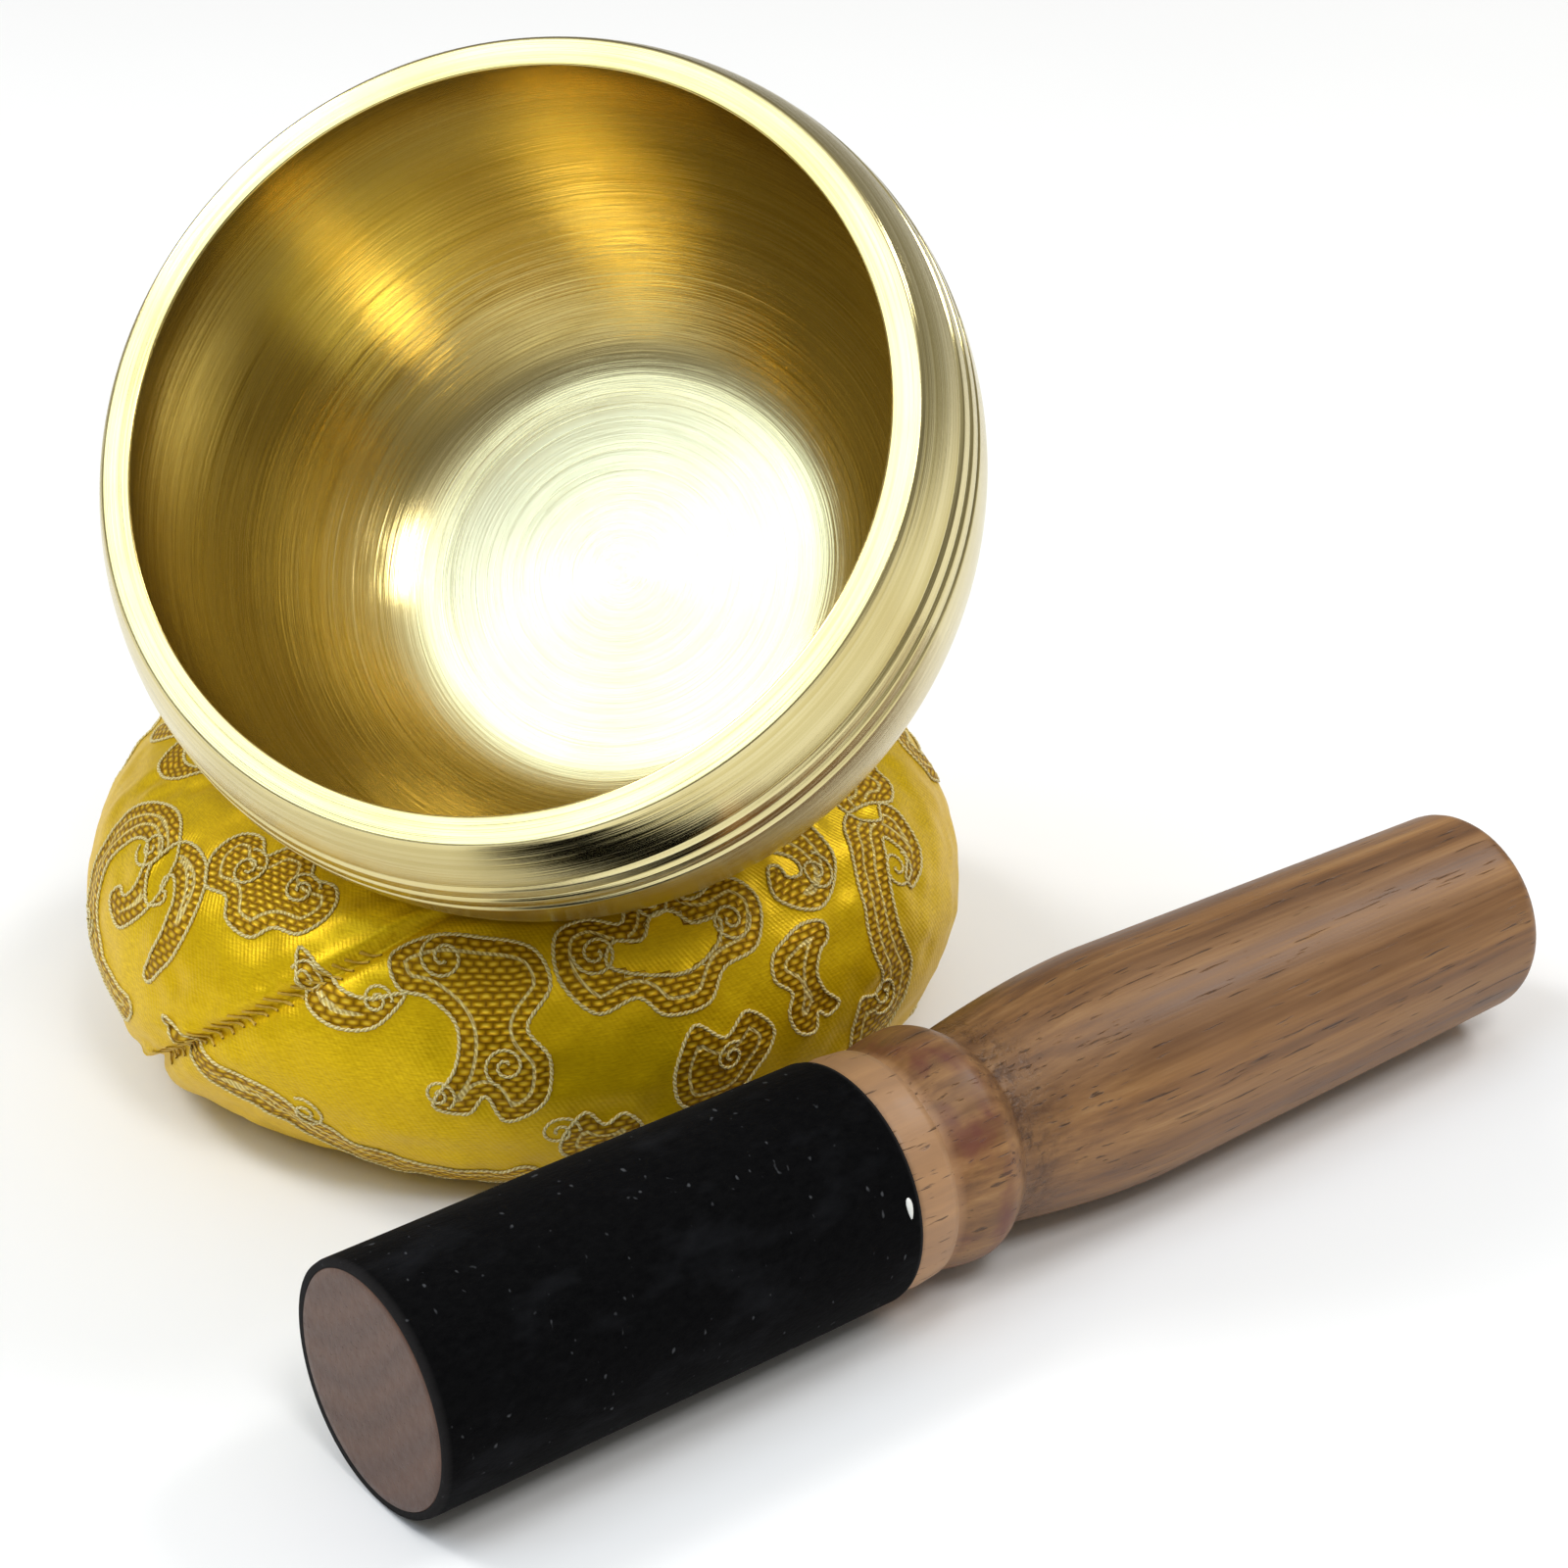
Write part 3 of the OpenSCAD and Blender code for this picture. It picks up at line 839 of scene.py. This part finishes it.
def cord_mesh(lines, points, normals, radius, pitch, lift, closed=True, sides=6):
    """A two-ply cord laid on the skin along each line. Returns verts, faces and a twist value per vertex."""
    verts, faces, twist, start = [], [], [], 0
    for line in lines:
        centre, out = on_skin(points, normals, line)
        count = len(centre)
        way = (np.roll(centre, -1, 0) - np.roll(centre, 1, 0)) if closed else np.gradient(centre, axis=0)
        way /= np.maximum(np.linalg.norm(way, axis=1, keepdims=True), 1e-9)
        side = np.cross(out, way)
        length = np.r_[0, np.cumsum(np.linalg.norm(np.diff(centre, axis=0), axis=1))]
        angle = np.arange(sides) * TAU / sides
        phase = length[:, None] / pitch + angle[None, :] / TAU
        size = radius * (1 + 0.3 * np.cos(TAU * phase * 2))
        ring = centre[:, None] + out[:, None] * lift + side[:, None] * (size * np.cos(angle))[..., None] \
            + out[:, None] * (0.75 * size * np.sin(angle))[..., None]
        verts.append(ring.reshape(-1, 3))
        twist.append(phase.ravel() * 2)
        faces.append(grid_faces(count, sides, wrap_rows=closed) + start)
        start += count * sides
    return np.concatenate(verts), np.concatenate(faces), np.concatenate(twist)


def vertex_values(piece, name, values):
    attribute = piece.data.attributes.new(name, "FLOAT", "POINT")
    attribute.data.foreach_set("value", np.asarray(values, np.float32).ravel())


def fabric_uv():
    """Millimetres along the ring and round the tube, at each quad corner of the skin grid."""
    i, j = np.meshgrid(np.arange(GRID_U), np.arange(GRID_V), indexing="ij")
    corners = [np.stack([np.radians((i + a) * 360 / GRID_U) * RING_R, (j + b) / GRID_V * GIRTH], -1)
               for a, b in ((0, 0), (0, 1), (1, 1), (1, 0))]
    return np.stack(corners, 2).reshape(-1, 2)


def make_cushion():
    u, t = grid_places(GRID_U, GRID_V)
    points = ring_points(u, t) + finer(blown_up(110, 54), GRID_U, GRID_V)
    points = pressed(points + normals_of(points) * joint_relief(u, t)[..., None])
    lines = motif_lines()
    depth = motif_depth(u, t, lines)
    points = points + normals_of(points) * (0.12 * np.clip(depth / 0.4, 0, 1))[..., None]
    distance, way = bowl_clearance(points)
    points = points + way * np.maximum(SKIN_GAP - distance, 0)[..., None]
    points[..., 2] = np.maximum(points[..., 2], 0.05)
    cover = make_object("cushion_brocade", points.reshape(-1, 3), grid_faces(GRID_U, GRID_V, wrap_rows=True),
                        BROCADE, "cushion", None, {"fabric": fabric_uv()})
    vertex_values(cover, "motif", depth)
    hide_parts("cushion")
    normals = normals_of(points)
    verts, faces, twist = cord_mesh(lines, points, normals, 0.17, 0.95, 0.08)
    cords = make_object("cushion_motif_cords", verts, faces, CORD, "cushion")
    vertex_values(cords, "twist", twist)
    verts, faces, twist = cord_mesh(spiral_lines(), points, normals, 0.15, 0.95, 0.08, closed=False)
    curls = make_object("cushion_spiral_cords", verts, faces, CORD, "cushion")
    vertex_values(curls, "twist", twist)
    make_joint_stitches(points, normals)
    make_ring_seam()


def make_joint_stitches(points, normals):
    """Short slanting stitches over the joint, uneven as sewn by hand."""
    rng = np.random.default_rng(5)
    lines = []
    for v in np.arange(-20, 48, 3.1):
        reach = 0.75 + 0.4 * rng.random()
        lean = rng.normal(0, 0.35)
        across = np.linspace(-reach, reach, 7)
        u = JOINT_AZ + JOINT_SLOPE * v + np.degrees(across / RING_R / 0.82)
        t = np.radians(v + lean * across * 1.2) * TUBE_R / GIRTH
        lines.append(np.stack([u % 360, t % 1], -1))
    verts, faces, _ = cord_mesh(lines, points, normals, 0.13, 0.8, 0.12, closed=False)
    stitches = make_object("joint_stitches", verts, faces, THREAD, "cushion")
    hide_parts("cushion_joint_stitches")


def make_ring_seam():
    """The long seam's thread in the hollow under the ring."""
    angle = np.radians(np.arange(0, 360, 1.0))
    turn = math.radians(-130)
    radius, z = INNER_ARC_R + (TUBE_R + 0.2) * math.cos(turn), TUBE_Z + (TUBE_R + 0.2) * math.sin(turn)
    side = np.arange(8) * TAU / 8
    wave = 0.2 * (1 + 0.25 * np.cos(angle[:, None] * 40 + side[None, :]))
    r = radius + wave * np.cos(side)
    verts = np.stack([r * np.cos(angle)[:, None], r * np.sin(angle)[:, None], z + wave * np.sin(side)], -1)
    seam = make_object("ring_seam_thread", verts.reshape(-1, 3),
                       grid_faces(360, 8, wrap_rows=True), THREAD, "cushion")
    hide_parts("cushion_ring_seam")


make_cushion()


# ---------------------------------------------------------------- striker

def level_out(p, q, count=16):
    t = np.linspace(0, 1, count)[1:]
    return np.stack([p[0] + (q[0] - p[0]) * np.sin(t * math.pi / 2), p[1] + (q[1] - p[1]) * t], -1)


def fall_off(p, q, count=16):
    t = np.linspace(0, 1, count)[1:]
    return np.stack([q[0] + (p[0] - q[0]) * np.cos(t * math.pi / 2), p[1] + (q[1] - p[1]) * t], -1)


def make_mallet():
    core = WRAP_R - SUEDE_T
    groove, crest = (GROOVE_R, COLLAR_AT), (BEAD_R, COLLAR_AT + BEAD_CREST * (CREASE_AT - COLLAR_AT))
    crease = (CREASE_R, CREASE_AT)
    line = np.concatenate([
        [(0, 0), (core - 0.15, 0), (core, 0.15), (core, WRAP_L), (COLLAR_R - COLLAR_EASE, WRAP_L)],
        [(COLLAR_R, (WRAP_L + COLLAR_AT) / 2), (COLLAR_R - COLLAR_EASE, COLLAR_AT - COLLAR_EASE), groove],
        level_out(groove, crest), fall_off(crest, crease), level_out(crease, (SWELL_R, SWELL_AT), 30),
        arc((TAIL_R - TAIL_ROUND, MALLET_L - TAIL_ROUND), TAIL_ROUND, 0, 90, 8), [(0, MALLET_L)]])
    pieces = [resample(line[k:k + 2], 0.7)[:-1] for k in range(len(line) - 1)]
    stick = lathe("striker_stick", np.concatenate([*pieces, line[-1:]]), 128, WOOD, "mallet", MALLET_POSE)
    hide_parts("mallet_stick")

    rows = np.linspace(0, WRAP_L, 100)
    outer = [(WRAP_R - 0.12, 0)] + [(WRAP_R, z) for z in rows[1:-1]] + [(WRAP_R - 0.12, WRAP_L)]
    wrap_line = [(core + 0.02, 0.05)] + outer + [(core + 0.02, WRAP_L - 0.05)]
    back = resample([(core + 0.02, WRAP_L - 0.05), (core + 0.02, 0.05)], 2)
    wrap_line = np.concatenate([wrap_line, back[1:]])

    def uneven(z, angle):
        near = np.exp(-z / 9)
        squarish = 0.006 * near * (1 + np.cos(4 * angle + 0.6))
        return 1 - squarish - 0.002 * (1 + np.cos(3 * angle - 0.2 * z))

    wrap = lathe("striker_suede", wrap_line, 128, SUEDE, "mallet", MALLET_POSE, uneven)
    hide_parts("mallet_wrap")
    make_glue_fleck()


def make_glue_fleck():
    """A dried drop of glue at the edge of the suede."""
    side = np.arange(14) * TAU / 14
    taper = 0.32 * (1 - 0.45 * np.sin(side))
    rings = [np.stack([s * taper * np.cos(side), s * 1.1 * np.sin(side)], -1) for s in (1, 0.8, 0.5, 0.01)]
    heights = (-0.1, 0.12, 0.2, 0.24)
    verts = []
    for ring, height in zip(rings, heights):
        for a, b in ring:
            angle = math.radians(-108) + b / WRAP_R
            radius = WRAP_R + height
            verts.append((radius * math.cos(angle), radius * math.sin(angle), WRAP_L - 1.2 + a))
    fleck = make_object("glue_fleck", verts, grid_faces(4, 14), GLUE, "mallet", MALLET_POSE)


make_mallet()


# ---------------------------------------------------------------- floor and light

def make_stage():
    material = bpy.data.materials.new("pale_floor")
    g = Graph(material)
    grain = g.noise(g.place(), 8.0, 2.0)
    g.surface(Base_Color=g.mix(grain, (0.9, 0.9, 0.9, 1), (0.93, 0.93, 0.93, 1)), Roughness=0.9)
    half = 30000
    corners = [(-half, -half, 0), (half, -half, 0), (half, half, 0), (-half, half, 0)]
    floor = make_object("floor", corners,
                        [(0, 1, 2, 3)], material, None)
    floor.location.z = -0.0002


def area_light(name, towards, distance, size, power, colour=(1, 1, 1)):
    data = bpy.data.lights.new(name, "AREA")
    data.shape = "SQUARE"
    data.size = size
    data.energy = power
    data.color = colour
    lamp = bpy.data.objects.new(name, data)
    aim = BOWL_POSE @ Vector((0, 0, 0.02))
    direction = Vector(towards).normalized()
    lamp.location = aim + direction * distance
    lamp.rotation_euler = direction.to_track_quat("Z", "Y").to_euler()
    bpy.context.scene.collection.objects.link(lamp)


def make_light():
    scene = bpy.context.scene
    scene.view_settings.view_transform = "Standard"
    world = bpy.data.worlds.new("studio")
    scene.world = world
    g = Graph(world)
    direction = g.add("TexCoord").outputs["Generated"]
    _, _, height = g.parts(direction)
    sky = g.ramp(g.span(height, -0.2, 1.0), (0.0, (0.42, 0.41, 0.38)), (0.25, (0.40, 0.39, 0.36)),
                 (0.5, (0.16, 0.15, 0.13)), (0.72, (0.40, 0.39, 0.36)), (1.0, (0.95, 0.94, 0.92)))
    back = g.add("Background", {"Color": sky, "Strength": 1.0})
    g.tree.links.new(back.outputs[0], g.add("OutputWorld").inputs[0])
    area_light("key", (-0.455, -0.405, 0.791), 0.9, 0.5, 1.75, (0.82, 1.0, 1.22))
    area_light("left", (-0.85, 0.1, 1.0), 1.2, 0.3, 4.5)
    area_light("right", (0.8, 0.3, 0.9), 1.2, 0.35, 4.0)
    area_light("front", (0.35, -0.75, 1.1), 1.2, 0.3, 3.5)


make_stage()
make_light()
